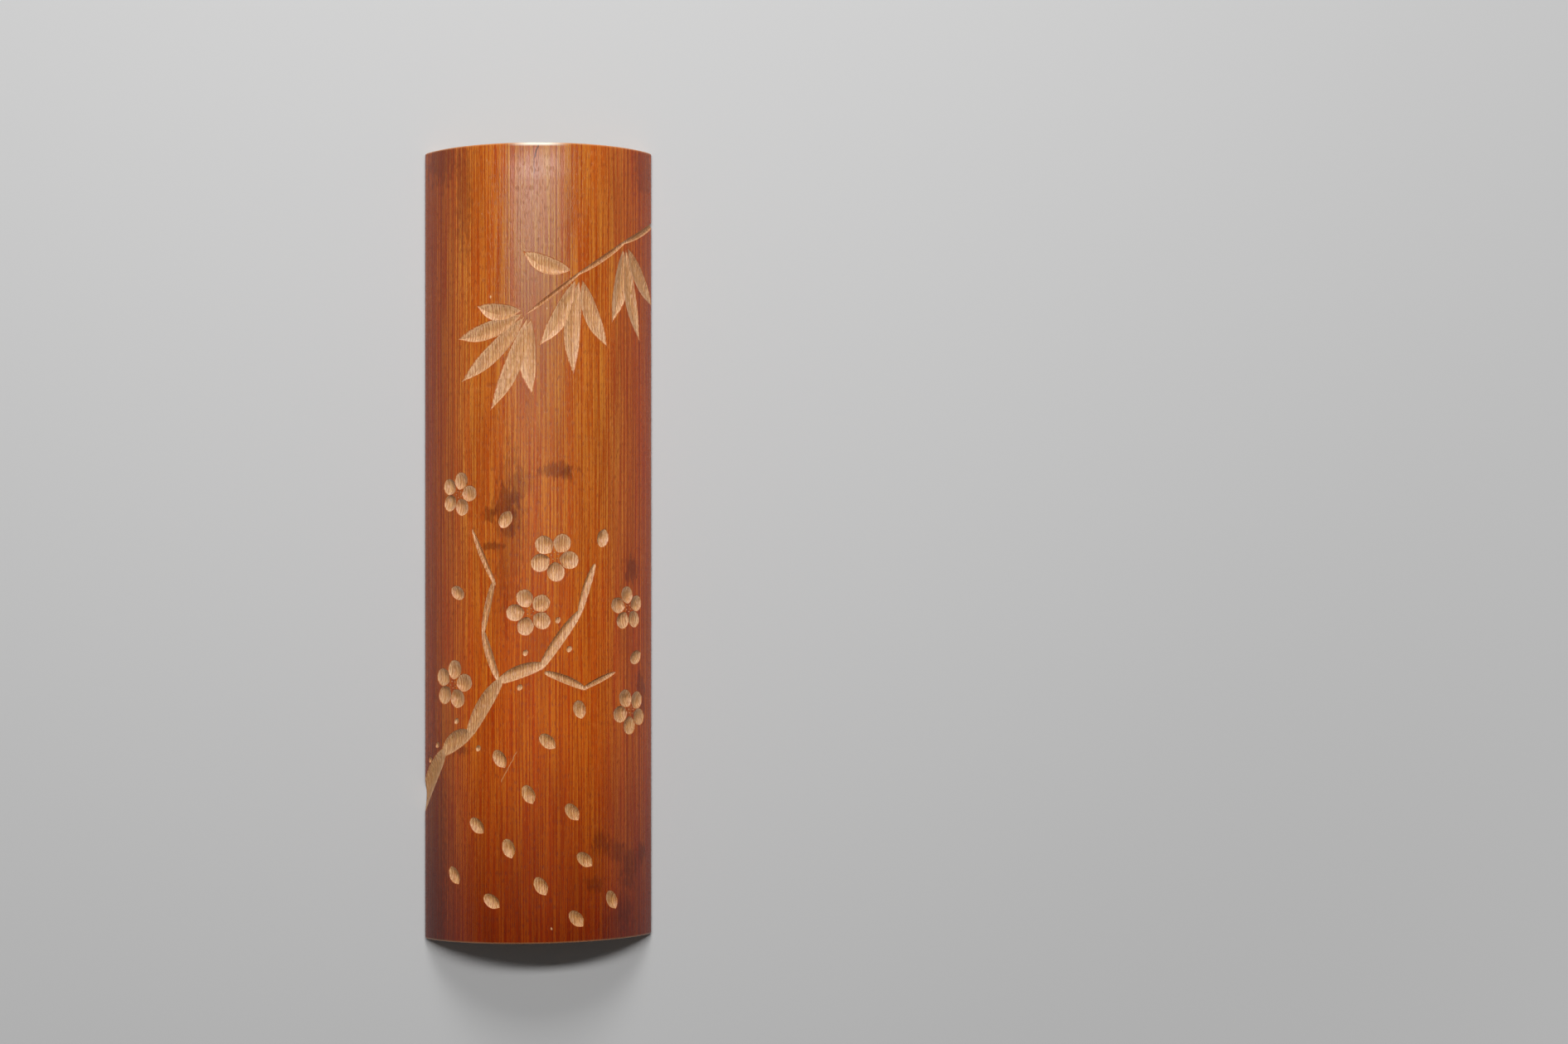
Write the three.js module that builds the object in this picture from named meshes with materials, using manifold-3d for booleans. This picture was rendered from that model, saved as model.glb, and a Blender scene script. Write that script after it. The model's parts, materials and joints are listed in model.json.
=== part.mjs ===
// Bamboo tea scoop: one strip split from a culm, with a picture cut into its skin by single gouge strokes.
// Millimetres, +Z up. The scoop lies on its two long edges with its hollow side down. +Y is the head end and
// +X the right-hand side, seen from above. The origin is at the bottom centre.
// The strip keeps the three natural layers of the culm as separate solids: rind, wall and lining.
import * as THREE from "three";
import { mergeVertices } from "three/addons/utils/BufferGeometryUtils.js";
import Module from "manifold-3d";

const wasm = await Module();
wasm.setup();

// Driving dimensions of the strip
const length = 209.4; // along the left edge, the longer of the two
const width = 61.4; // across the feet, before their edges are rounded
const rise = 20; // height of the crown above the feet
const wallThickness = 4.8; // through all three layers
const rindThickness = 0.4; // hard toned skin
const liningThickness = 0.5; // smooth inner ring
const layerGap = 0.05; // between layers that have grown together
const footSlant = 0.0215; // the foot end is sawn this much off square, in mm per mm
const footArris = 1; // rounding along the two feet
const endArris = 0.6; // rounding round the two ends
const facets = 36; // flats that stand for the round of the culm
const arrisSteps = 2; // flats that stand for a rounding

// Driving dimensions of the gouge cuts
const cutIntoFlesh = 0.5; // deepest point of a cut below the rind
const rimLift = 0.25; // how far a cutter's rim stands above the skin
const leafLength = 25;
const leafWidth = 4.6;
const leafTwigWidth = 1.7;
const branchWidth = 5.6; // of the plum branch where it leaves the edge
const twigWidth = 2.2; // of a plum twig where it leaves the branch
const blossomSize = 13.4; // across five petals
const blossomEye = 3; // across the skin left at the heart of a blossom
const petalWeb = 0.35; // skin left between two petals
const budLength = 5;
const budWidth = 3.5;
const fallenLength = 5.4;
const fallenWidth = 3.4;

// What follows from them
const halfWidth = width / 2;
const culmRadius = (rise ** 2 + halfWidth ** 2) / (2 * rise);
const axisHeight = rise - culmRadius;
const hollowRadius = culmRadius - wallThickness;
const halfAngle = Math.asin(halfWidth / culmRadius);
const facetAngle = (2 * halfAngle) / facets;
const skinReach = culmRadius * halfAngle; // from the crown to a long edge, measured on the skin
const cutDepth = rindThickness + layerGap + cutIntoFlesh;
const degree = Math.PI / 180;

function toSolid(geometry) {
  geometry.deleteAttribute("normal");
  geometry.deleteAttribute("uv");
  const merged = mergeVertices(geometry, 1e-5);
  const vertProperties = new Float32Array(merged.attributes.position.array);
  const triVerts = new Uint32Array(merged.index.array);
  return new wasm.Manifold(new wasm.Mesh({ numProp: 3, vertProperties, triVerts }));
}

function toGeometry(solid) {
  const mesh = solid.getMesh();
  const geometry = new THREE.BufferGeometry();
  geometry.setAttribute("position", new THREE.BufferAttribute(mesh.vertProperties, 3));
  geometry.setIndex(new THREE.BufferAttribute(mesh.triVerts, 1));
  return geometry;
}

// Points on a circle about the culm's axis, at every whole facet angle within a limit, from right to left.
// All layers break at the same angles, so that their flats lie parallel.
function arcPoints(radius, limit) {
  const most = Math.floor(limit / facetAngle - 0.25);
  return Array.from({ length: 2 * most + 1 }, (_, i) => {
    const angle = (most - i) * facetAngle;
    return new THREE.Vector2(radius * Math.sin(angle), axisHeight + radius * Math.cos(angle));
  });
}

// The rounding of one edge of the right foot, whose centre lies at a reach from the culm's axis
function footRounding(reach, side) {
  const across = Math.sqrt(reach ** 2 - (footArris - axisHeight) ** 2);
  const lean = Math.atan2(footArris - axisHeight, across);
  const down = -Math.PI / 2;
  const [from, to] = side === "skin" ? [down, lean] : [lean - Math.PI, down];
  const points = Array.from({ length: arrisSteps + 1 }, (_, i) => {
    const angle = from + ((to - from) * i) / arrisSteps;
    return new THREE.Vector2(across + footArris * Math.cos(angle), footArris * (1 + Math.sin(angle)));
  });
  return { points, limit: Math.PI / 2 - lean };
}

function extrudeAlongStrip(outline, reach, bevel) {
  const geometry = new THREE.ExtrudeGeometry(new THREE.Shape(outline), {
    depth: reach - 2 * bevel,
    bevelEnabled: bevel > 0,
    bevelThickness: bevel,
    bevelSize: bevel,
    bevelOffset: -bevel,
    bevelSegments: arrisSteps,
  });
  geometry.rotateX(Math.PI / 2);
  geometry.translate(0, reach / 2 - bevel, 0);
  return geometry;
}

// The whole strip: a band of the culm on two flat feet, all its edges rounded, the foot end a little slanted
function makeStrip() {
  const outer = footRounding(culmRadius - footArris, "skin");
  const inner = footRounding(hollowRadius + footArris, "hollow");
  const rightFoot = [...inner.points, ...outer.points];
  const leftFoot = rightFoot.map((point) => new THREE.Vector2(-point.x, point.y)).reverse();
  const skin = arcPoints(culmRadius, outer.limit);
  const hollow = arcPoints(hollowRadius, inner.limit).reverse();
  const geometry = extrudeAlongStrip([...rightFoot, ...skin, ...leftFoot, ...hollow], length, endArris);
  const position = geometry.attributes.position;
  for (let i = 0; i < position.count; i += 1) {
    const fromHead = 0.5 - position.getY(i) / length;
    position.setY(i, position.getY(i) + fromHead * footSlant * (position.getX(i) + halfWidth));
  }
  return toSolid(geometry);
}

// A ring about the culm's axis, longer and wider than the strip, that picks one layer out of it
function makeLayerRing(outerRadius, innerRadius) {
  const limit = halfAngle + 5 * facetAngle;
  const outline = [...arcPoints(outerRadius, limit), ...arcPoints(innerRadius, limit).reverse()];
  return toSolid(extrudeAlongStrip(outline, length + 10, 0));
}

// A point drawn flat on the skin, rolled onto the culm. "around" is measured along the skin from the crown.
function rollOnCulm({ around, along, height }) {
  const angle = around / culmRadius;
  const radius = culmRadius + height;
  return [radius * Math.sin(angle), along, axisHeight + radius * Math.cos(angle)];
}

// The solid that one gouge stroke takes out. Its floor falls from a rim above the skin to the deepest point.
//   from, to   ends of the stroke on the skin, [around, along]
//   bow        how far the stroke swings out sideways
//   tip        how pointed it is at its far end, 0 for round
//   tail       the same for its near end
//   steep      shifts the deepest point sideways, which makes one wall steep and feathers the other
//   heel       shifts it towards the far end
function makeCut({ from, to, across, bow = 0, tip = 1, tail = 1, steep = 0.3, heel = 0, points = 10 }) {
  const start = new THREE.Vector2(...from);
  const end = new THREE.Vector2(...to);
  const middle = start.clone().add(end).divideScalar(2);
  const forward = end.clone().sub(start);
  const reach = forward.length();
  forward.normalize();
  const overshoot = Math.sqrt(1 + rimLift / cutDepth);
  const rings = [1, 0.5];
  const lidHeight = rimLift + 0.5 + reach / 10;

  const place = (u, v, height) => {
    const ahead = (u * reach) / 2;
    const aside = (v * across) / 2 + bow * (1 - u * u);
    const around = middle.x + forward.x * ahead - forward.y * aside;
    const along = middle.y + forward.y * ahead + forward.x * aside;
    return rollOnCulm({ around, along, height });
  };
  const onRing = (ring, angle) => {
    const fall = 1 - ring * ring;
    const cosine = Math.cos(angle);
    const sharpness = cosine > 0 ? tip * cosine : -tail * cosine;
    const u = overshoot * ring * cosine + heel * fall;
    const v = overshoot * ring * Math.sin(angle) * Math.abs(Math.sin(angle)) ** sharpness + steep * fall;
    return place(u, v, rimLift - (rimLift + cutDepth) * fall);
  };

  const vertices = [place(heel, steep, -cutDepth), place(0, 0, lidHeight)];
  for (const ring of rings) {
    for (let i = 0; i < points; i += 1) {
      vertices.push(onRing(ring, (2 * Math.PI * i) / points));
    }
  }
  const faces = [];
  for (let i = 0; i < points; i += 1) {
    const rim = 2 + i;
    const nextRim = 2 + ((i + 1) % points);
    faces.push(0, nextRim + points, rim + points);
    faces.push(rim + points, nextRim + points, nextRim);
    faces.push(rim + points, nextRim, rim);
    faces.push(1, rim, nextRim);
  }
  const geometry = new THREE.BufferGeometry();
  geometry.setAttribute("position", new THREE.Float32BufferAttribute(vertices.flat(), 3));
  geometry.setIndex(faces);
  return toSolid(geometry);
}

// A stroke given by its near end, heading and reach
function makeCutTowards({ at, heading, reach, ...rest }) {
  const angle = heading * degree;
  const to = [at[0] + reach * Math.cos(angle), at[1] + reach * Math.sin(angle)];
  return makeCut({ from: at, to, ...rest });
}

// Strokes that follow one another through a list of points and get narrower
function makeBranch(path, startWidth, endWidth) {
  const lap = 0.08;
  return path.slice(1).map((end, i) => {
    const across = startWidth + ((endWidth - startWidth) * i) / Math.max(1, path.length - 2);
    const start = path[i];
    const step = [(end[0] - start[0]) * lap, (end[1] - start[1]) * lap];
    const from = [start[0] - step[0], start[1] - step[1]];
    const to = [end[0] + step[0], end[1] + step[1]];
    return makeCut({ from, to, across, tip: 0.2, tail: -0.2, bow: across * 0.15 });
  });
}

// Bamboo leaves hang in fans from the nodes of a thin twig that comes in over the right edge.
// Places are given from the right edge and down from the head end.
function makeLeafSpray() {
  const place = ([fromEdge, fromHead]) => [skinReach - fromEdge, length / 2 - fromHead];
  const nodes = [[-1, 18], [14, 25], [28, 34], [41, 44]].map(place);
  const fans = [
    { at: nodes[1], headings: [-50, -76, -102], shares: [0.75, 1, 0.8] },
    { at: nodes[2], headings: [-66, -93, -120, 158], shares: [0.75, 1, 0.8, 0.55] },
    { at: nodes[3], headings: [-88, -113, -138, -163, 172], shares: [0.8, 1.05, 1, 0.8, 0.5] },
  ];
  const twig = makeBranch(nodes, leafTwigWidth, leafTwigWidth * 0.7);
  const leaves = fans.flatMap(({ at, headings, shares }) => headings.map((heading, i) => {
    const angle = heading * degree;
    const gap = leafTwigWidth + 0.8;
    const stem = [at[0] + gap * Math.cos(angle), at[1] + gap * Math.sin(angle)];
    const bow = heading > 0 || heading < -100 ? 1.2 : -1.2;
    const reach = leafLength * shares[i];
    return makeCutTowards({ at: stem, heading, reach, across: leafWidth, bow, tip: 1.6, tail: 1, heel: -0.25 });
  }));
  return [...twig, ...leaves];
}

function makeBlossom([around, along], turn, share) {
  const outer = (blossomSize * share) / 2;
  const inner = (blossomEye * share) / 2;
  const middle = (outer + inner) / 2;
  const across = 2 * middle * Math.sin(36 * degree) * 1.06 - petalWeb;
  return Array.from({ length: 5 }, (_, i) => {
    const angle = (turn + 72 * i) * degree;
    const at = (radius) => [around + radius * Math.cos(angle), along + radius * Math.sin(angle)];
    return makeCut({ from: at(outer), to: at(inner), across, tip: 0.6, tail: -0.2, heel: 0.25, points: 8 });
  });
}

// A plum branch grows in over the left edge, with two twigs, blossoms and buds.
// Places are given from the left edge and up from the foot end.
function makePlum() {
  const place = ([fromEdge, fromFoot]) => [fromEdge - skinReach, fromFoot - length / 2];
  const branch = [[-1, 33], [11, 50], [20, 55], [29, 69], [40, 73], [50, 87], [54, 99]].map(place);
  const upperTwig = [[28, 70], [24, 82], [27, 95], [21, 108]].map(place);
  const lowerTwig = [[41, 71], [51, 67], [60, 71]].map(place);
  const blossoms = [
    { at: [14, 68], turn: 10, share: 1 },
    { at: [36.5, 87], turn: 40, share: 0.95 },
    { at: [43, 101.5], turn: 62, share: 1 },
    { at: [65, 88], turn: 25, share: 0.9 },
    { at: [66, 61], turn: 50, share: 0.95 },
    { at: [16, 118], turn: 5, share: 0.9 },
  ];
  const buds = [
    { at: [29, 109], heading: 60 },
    { at: [18, 91], heading: 150 },
    { at: [56, 104], heading: 75 },
    { at: [49, 64], heading: -75 },
    { at: [66, 74], heading: 25 },
  ];
  return [
    ...makeBranch(branch, branchWidth, twigWidth),
    ...makeBranch(upperTwig, twigWidth, twigWidth * 0.7),
    ...makeBranch(lowerTwig, twigWidth, twigWidth * 0.7),
    ...blossoms.flatMap(({ at, turn, share }) => makeBlossom(place(at), turn, share)),
    ...buds.map(({ at, heading }) =>
      makeCutTowards({ at: place(at), heading, reach: budLength, across: budWidth, tip: 0.5, tail: 0, points: 8 })),
  ];
}

// Single fallen petals drift down below the branch
function makeFallenPetals() {
  const place = ([fromEdge, fromFoot]) => [fromEdge - skinReach, fromFoot - length / 2];
  const petals = [
    [27, 51, -58], [39, 55, -40], [35, 42, -66], [46, 37, -52], [20, 33, -45], [30, 28, -72],
    [49, 24, -38], [38, 18, -60], [13, 20, -55], [24, 13, -35], [58, 14, -62], [47, 9, -48],
  ];
  return petals.map(([fromEdge, fromFoot, heading]) => makeCutTowards({
    at: place([fromEdge, fromFoot]),
    heading,
    reach: fallenLength,
    across: fallenWidth,
    tip: 0.9,
    tail: 0,
    heel: 0.15,
    points: 8,
  }));
}

function makeMesh(name, solid, color, roughness) {
  const material = new THREE.MeshStandardMaterial({ color, roughness, metalness: 0, flatShading: true });
  const mesh = new THREE.Mesh(toGeometry(solid), material);
  mesh.name = name;
  return mesh;
}

const cuts = [...makeLeafSpray(), ...makePlum(), ...makeFallenPetals()];
const carved = cuts.reduce((strip, cut) => strip.subtract(cut), makeStrip());
const wallOuter = culmRadius - rindThickness - layerGap;
const liningOuter = hollowRadius + liningThickness;

const scoop = new THREE.Group();
scoop.add(makeMesh(
  "rind",
  carved.intersect(makeLayerRing(culmRadius + 1, culmRadius - rindThickness)),
  0xae5722,
  0.38,
));
scoop.add(makeMesh(
  "culm_wall",
  carved.intersect(makeLayerRing(wallOuter, liningOuter + layerGap)),
  0xd0a070,
  0.6,
));
scoop.add(makeMesh(
  "inner_lining",
  carved.intersect(makeLayerRing(liningOuter, hollowRadius - 1)),
  0xc9a468,
  0.5,
));

export default scoop;
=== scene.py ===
# Bamboo tea scoop: one strip split from a culm, toned, polished and carved with single gouge strokes.
import json
import math

import bmesh
import bpy
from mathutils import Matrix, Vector

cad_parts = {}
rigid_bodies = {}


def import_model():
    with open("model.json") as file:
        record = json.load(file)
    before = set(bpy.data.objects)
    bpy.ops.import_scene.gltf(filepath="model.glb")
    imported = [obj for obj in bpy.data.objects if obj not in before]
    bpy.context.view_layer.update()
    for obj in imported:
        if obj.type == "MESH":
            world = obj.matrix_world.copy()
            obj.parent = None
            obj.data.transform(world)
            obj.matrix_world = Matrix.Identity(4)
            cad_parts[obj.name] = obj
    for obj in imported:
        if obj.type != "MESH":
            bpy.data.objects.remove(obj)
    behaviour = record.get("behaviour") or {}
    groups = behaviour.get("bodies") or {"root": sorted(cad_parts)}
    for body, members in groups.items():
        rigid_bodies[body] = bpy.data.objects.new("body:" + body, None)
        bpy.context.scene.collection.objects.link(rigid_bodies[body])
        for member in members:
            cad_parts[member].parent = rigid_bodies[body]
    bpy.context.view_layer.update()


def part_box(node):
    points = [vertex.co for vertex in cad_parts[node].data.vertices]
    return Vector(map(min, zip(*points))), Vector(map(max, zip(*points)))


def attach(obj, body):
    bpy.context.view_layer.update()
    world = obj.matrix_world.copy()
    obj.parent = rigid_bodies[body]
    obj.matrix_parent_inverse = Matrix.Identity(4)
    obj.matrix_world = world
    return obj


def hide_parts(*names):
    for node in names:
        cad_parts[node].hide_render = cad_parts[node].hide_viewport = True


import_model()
scene = bpy.context.scene

# The split strip
# A strip is split from a bamboo culm about 67 mm across. Its two long edges are planed flat to stand on, both
# ends are sawn, the foot end a little off square, and the sharp edges are rounded by hand.
mm = 0.001
rind_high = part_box("rind")[1]
wall_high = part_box("culm_wall")[1]
length = 2 * wall_high.y
rise = rind_high.z
foot_spread = 61.4 * mm
wall_thickness = 4.8 * mm
foot_arris = 1 * mm
end_arris = 0.6 * mm
end_slant = 0.0215
section_flats = 144
rounding_flats = 6
stations = 22

half_spread = foot_spread / 2
culm_radius = (rise**2 + half_spread**2) / (2 * rise)
axis_height = rise - culm_radius
hollow_radius = culm_radius - wall_thickness
half_angle = math.asin(half_spread / culm_radius)
flat_angle = 2 * half_angle / section_flats
skin_reach = culm_radius * half_angle

surface_names = ("cut_fibre", "polished_skin", "sawn_end", "planed_foot", "scraped_hollow")
surfaces = {name: bpy.data.materials.new(name) for name in surface_names}


def add(tree, kind, inputs=None, **settings):
    """Adds a node, sets its options and feeds each input with a value or with another node's output."""
    node = tree.nodes.new(kind)
    for option, value in settings.items():
        setattr(node, option, value)
    for socket, value in (inputs or {}).items():
        if isinstance(value, bpy.types.NodeSocket):
            tree.links.new(value, node.inputs[socket])
        else:
            node.inputs[socket].default_value = value
    return node


def calc(tree, operation, *values):
    return add(tree, "ShaderNodeMath", dict(enumerate(values)), operation=operation).outputs[0]


def start_tree(name, sockets):
    """Opens a Geometry Nodes tree with one named input for its geometry and for each socket."""
    tree = bpy.data.node_groups.new(name, "GeometryNodeTree")
    tree.interface.new_socket("Geometry", in_out="OUTPUT", socket_type="NodeSocketGeometry")
    for socket, kind in {"Geometry": "Geometry", **sockets}.items():
        tree.interface.new_socket(socket, in_out="INPUT", socket_type="NodeSocket" + kind)
    return tree, tree.nodes.new("NodeGroupInput").outputs


def end_tree(tree, geometry, surface, where=True):
    made = add(tree, "GeometryNodeRealizeInstances", {"Geometry": geometry}).outputs[0]
    finish = {"Geometry": made, "Selection": where, "Material": surface}
    finished = add(tree, "GeometryNodeSetMaterial", finish).outputs[0]
    add(tree, "NodeGroupOutput", {"Geometry": finished})


def run_tree(piece, tree, values):
    """Puts the tree on a piece as a modifier, with its inputs set by their identifiers."""
    modifier = piece.modifiers.new(tree.name, "NODES")
    modifier.node_group = tree
    for socket in tree.interface.items_tree:
        if socket.in_out == "INPUT" and socket.name in values:
            modifier[socket.identifier] = values[socket.name]


def place(name, data):
    piece = bpy.data.objects.new(name, data)
    scene.collection.objects.link(piece)
    return piece


def settle(piece, name):
    """Turns a piece and its modifiers into a plain mesh object of that name."""
    bpy.context.view_layer.update()
    shaped = piece.evaluated_get(bpy.context.evaluated_depsgraph_get())
    mesh = bpy.data.meshes.new_from_object(shaped)
    bpy.data.objects.remove(piece)
    mesh.name = name
    return place(name, mesh)


def make_sawn_strip_tree():
    """Sweeps a section from the foot end to the head end and slants the foot end."""
    tree, given = start_tree("sawn_strip", {
        "Length": "Float",
        "Slant": "Float",
        "Half Spread": "Float",
        "Stations": "Int",
        "Surface": "Material",
    })
    half = calc(tree, "MULTIPLY", given["Length"], 0.5)
    foot_end = add(tree, "ShaderNodeCombineXYZ", {"Y": calc(tree, "MULTIPLY", half, -1.0)}).outputs[0]
    head_end = add(tree, "ShaderNodeCombineXYZ", {"Y": half}).outputs[0]
    line = add(tree, "GeometryNodeCurvePrimitiveLine", {"Start": foot_end, "End": head_end}).outputs[0]
    steps = add(tree, "GeometryNodeResampleCurve", {"Curve": line, "Count": given["Stations"]}).outputs[0]
    level = add(tree, "GeometryNodeSetCurveNormal", {"Curve": steps}, mode="Z_UP").outputs[0]
    swept = add(tree, "GeometryNodeCurveToMesh", {
        "Curve": level,
        "Profile Curve": given["Geometry"],
        "Fill Caps": True,
    }).outputs[0]
    here = add(tree, "GeometryNodeInputPosition").outputs[0]
    x, y, z = add(tree, "ShaderNodeSeparateXYZ", {"Vector": here}).outputs
    from_head = calc(tree, "SUBTRACT", 0.5, calc(tree, "DIVIDE", y, given["Length"]))
    from_left = calc(tree, "ADD", x, given["Half Spread"])
    shift = calc(tree, "MULTIPLY", calc(tree, "MULTIPLY", from_head, from_left), given["Slant"])
    offset = add(tree, "ShaderNodeCombineXYZ", {"Y": shift}).outputs[0]
    slanted = add(tree, "GeometryNodeSetPosition", {"Geometry": swept, "Offset": offset}).outputs[0]
    end_tree(tree, slanted, given["Surface"])
    return tree


sawn_strip_tree = make_sawn_strip_tree()


def sweep_section(name, section, reach, slant):
    """A closed strip with this section, a list of points in x and height."""
    outline = bpy.data.curves.new(name, "CURVE")
    outline.dimensions = "3D"
    spline = outline.splines.new("POLY")
    spline.points.add(len(section) - 1)
    for point, (x, z) in zip(spline.points, reversed(section)):
        point.co = (x, -z, 0, 1)
    spline.use_cyclic_u = True
    piece = place(name + "_section", outline)
    run_tree(piece, sawn_strip_tree, {
        "Length": reach,
        "Slant": slant,
        "Half Spread": half_spread,
        "Stations": stations,
        "Surface": surfaces["cut_fibre"],
    })
    return settle(piece, name)


def arc_points(radius, limit):
    """Points of an arc round the culm's axis at each whole flat within a limit, from right to left."""
    least_flat = 0.25
    most = math.floor(limit / flat_angle - least_flat)
    angles = [step * flat_angle for step in range(most, -most - 1, -1)]
    return [(radius * math.sin(angle), axis_height + radius * math.cos(angle)) for angle in angles]


def foot_rounding(reach, on_skin):
    """The rounding of one edge of the right foot, and the angle at which it meets the arc."""
    across = math.sqrt(reach**2 - (foot_arris - axis_height) ** 2)
    lean = math.atan2(foot_arris - axis_height, across)
    down = -math.pi / 2
    start, stop = (down, lean) if on_skin else (lean - math.pi, down)
    points = []
    for step in range(rounding_flats + 1):
        angle = start + (stop - start) * step / rounding_flats
        points.append((across + foot_arris * math.cos(angle), foot_arris * (1 + math.sin(angle))))
    return points, math.pi / 2 - lean


def strip_section():
    skin_edge, skin_limit = foot_rounding(culm_radius - foot_arris, True)
    hollow_edge, hollow_limit = foot_rounding(hollow_radius + foot_arris, False)
    right_foot = hollow_edge + skin_edge
    left_foot = [(-x, z) for x, z in reversed(right_foot)]
    hollow = reversed(arc_points(hollow_radius, hollow_limit))
    return [*right_foot, *arc_points(culm_radius, skin_limit), *left_foot, *hollow]


def surface_of(face):
    """The name of the surface that a face of the uncarved strip belongs to."""
    end_on = 0.97
    face_down = -0.9
    table_height = 0.05 * mm
    x, y, z = face.center
    if abs(face.normal.y) > end_on:
        return "sawn_end"
    if z < table_height and face.normal.z < face_down:
        return "planed_foot"
    facing_out = face.normal.dot(Vector((x, 0, z - axis_height))) > 0
    return "polished_skin" if facing_out else "scraped_hollow"


def make_strip():
    strip = sweep_section("strip", strip_section(), length, end_slant)
    rounding = strip.modifiers.new("rounded_ends", "BEVEL")
    rounding.width = end_arris
    rounding.segments = 4
    rounding.limit_method = "ANGLE"
    rounding.angle_limit = math.radians(60)
    rounding.use_clamp_overlap = False
    strip = settle(strip, "strip")
    for name in surface_names[1:]:
        strip.data.materials.append(surfaces[name])
    for face in strip.data.polygons:
        face.material_index = surface_names.index(surface_of(face))
    return strip


# The gouge strokes
# The design is cut into the finished strip by hand. Each leaf, petal and length of branch is one stroke of a
# gouge, steep on one side and feathered out on the other, and goes through the rind into the pale wall.
rind_thickness = 0.4 * mm
rim_lift = 0.25 * mm
cut_depth = rind_thickness + 0.55 * mm
steep_side = 0.3
stroke_points = 48
stroke_rings = 10
lid_fall = -2
gouge_forms = {
    "branch": {"tip": 0.2, "tail": -0.2, "heel": 0},
    "bud": {"tip": 0.5, "tail": 0, "heel": 0},
    "dot": {"tip": 0.1, "tail": 0.1, "heel": 0},
    "fallen_petal": {"tip": 0.9, "tail": 0, "heel": 0.15},
    "leaf": {"tip": 1.6, "tail": 1, "heel": -0.25},
    "petal": {"tip": 0.6, "tail": -0.2, "heel": 0.25},
}
gouge_strokes = []


def make_gouge_form(name, tip, tail, heel):
    """The solid that one stroke takes away, in shares of its reach, width and depth, with depth along z."""
    overshoot = math.sqrt(1 + rim_lift / cut_depth)
    vertices = [(heel, steep_side, 1), (0, 0, lid_fall)]
    for ring in range(1, stroke_rings + 1):
        share = ring / stroke_rings
        fall = 1 - share**2
        for step in range(stroke_points):
            angle = 2 * math.pi * step / stroke_points
            cosine = math.cos(angle)
            sine = math.sin(angle)
            sharpness = tip * cosine if cosine > 0 else -tail * cosine
            u = overshoot * share * cosine + heel * fall
            v = overshoot * share * sine * abs(sine) ** sharpness + steep_side * fall
            vertices.append((u, v, fall))
    faces = []
    rim = 2 + (stroke_rings - 1) * stroke_points
    for step in range(stroke_points):
        after = (step + 1) % stroke_points
        faces.append((0, 2 + after, 2 + step))
        faces.append((1, rim + step, rim + after))
        for inner in range(2, rim, stroke_points):
            outer = inner + stroke_points
            faces.append((inner + step, inner + after, outer + after, outer + step))
    mesh = bpy.data.meshes.new(name)
    mesh.from_pydata(vertices, [], faces)
    mesh.materials.append(surfaces["cut_fibre"])
    return bpy.data.objects.new(name, mesh)


def cut_stroke(form, start, end, across, bow=0, deep=cut_depth):
    """Adds one stroke between two places, given in millimetres round and along the culm."""
    ahead = (end[0] - start[0], end[1] - start[1])
    gouge_strokes.append({
        "form": list(gouge_forms).index(form),
        "around": (start[0] + end[0]) / 2 * mm,
        "along": (start[1] + end[1]) / 2 * mm,
        "heading": math.atan2(ahead[1], ahead[0]),
        "reach": math.hypot(*ahead) * mm,
        "across": across * mm,
        "bow": bow * mm,
        "deep": deep,
    })


def towards(at, heading, reach):
    angle = math.radians(heading)
    return at[0] + reach * math.cos(angle), at[1] + reach * math.sin(angle)


def from_right_edge(from_edge, from_head):
    return skin_reach / mm - from_edge, length / mm / 2 - from_head


def from_left_edge(from_edge, from_foot):
    return from_edge - skin_reach / mm, from_foot - length / mm / 2


def cut_branch(path, start_width, end_width):
    """Strokes that follow one another through a list of places and get narrower."""
    lap = 0.08
    bow_share = 0.15
    for step, (start, end) in enumerate(zip(path, path[1:])):
        across = start_width + (end_width - start_width) * step / max(1, len(path) - 2)
        over = [(end[i] - start[i]) * lap for i in (0, 1)]
        first = (start[0] - over[0], start[1] - over[1])
        last = (end[0] + over[0], end[1] + over[1])
        cut_stroke("branch", first, last, across, across * bow_share)


def cut_leaf_spray():
    """Leaves hang in fans from the nodes of a thin twig that comes in over the right edge."""
    leaf_length = 25
    leaf_width = 4.6
    leaf_bow = 1.2
    stem_gap = 0.8
    twig_width = 1.7
    nodes = [from_right_edge(*node) for node in ((-1, 18), (14, 25), (28, 34), (41, 44))]
    fans = (
        (nodes[1], (-50, -76, -102), (0.75, 1, 0.8)),
        (nodes[2], (-66, -93, -120, 158), (0.75, 1, 0.8, 0.55)),
        (nodes[3], (-88, -113, -138, -163, 172), (0.8, 1.05, 1, 0.8, 0.5)),
    )
    cut_branch(nodes, twig_width, twig_width * 0.7)
    for node, headings, shares in fans:
        for heading, share in zip(headings, shares):
            stem = towards(node, heading, twig_width + stem_gap)
            tip = towards(stem, heading, leaf_length * share)
            bow = leaf_bow if heading > 0 or heading < -100 else -leaf_bow
            cut_stroke("leaf", stem, tip, leaf_width, bow)


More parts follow.
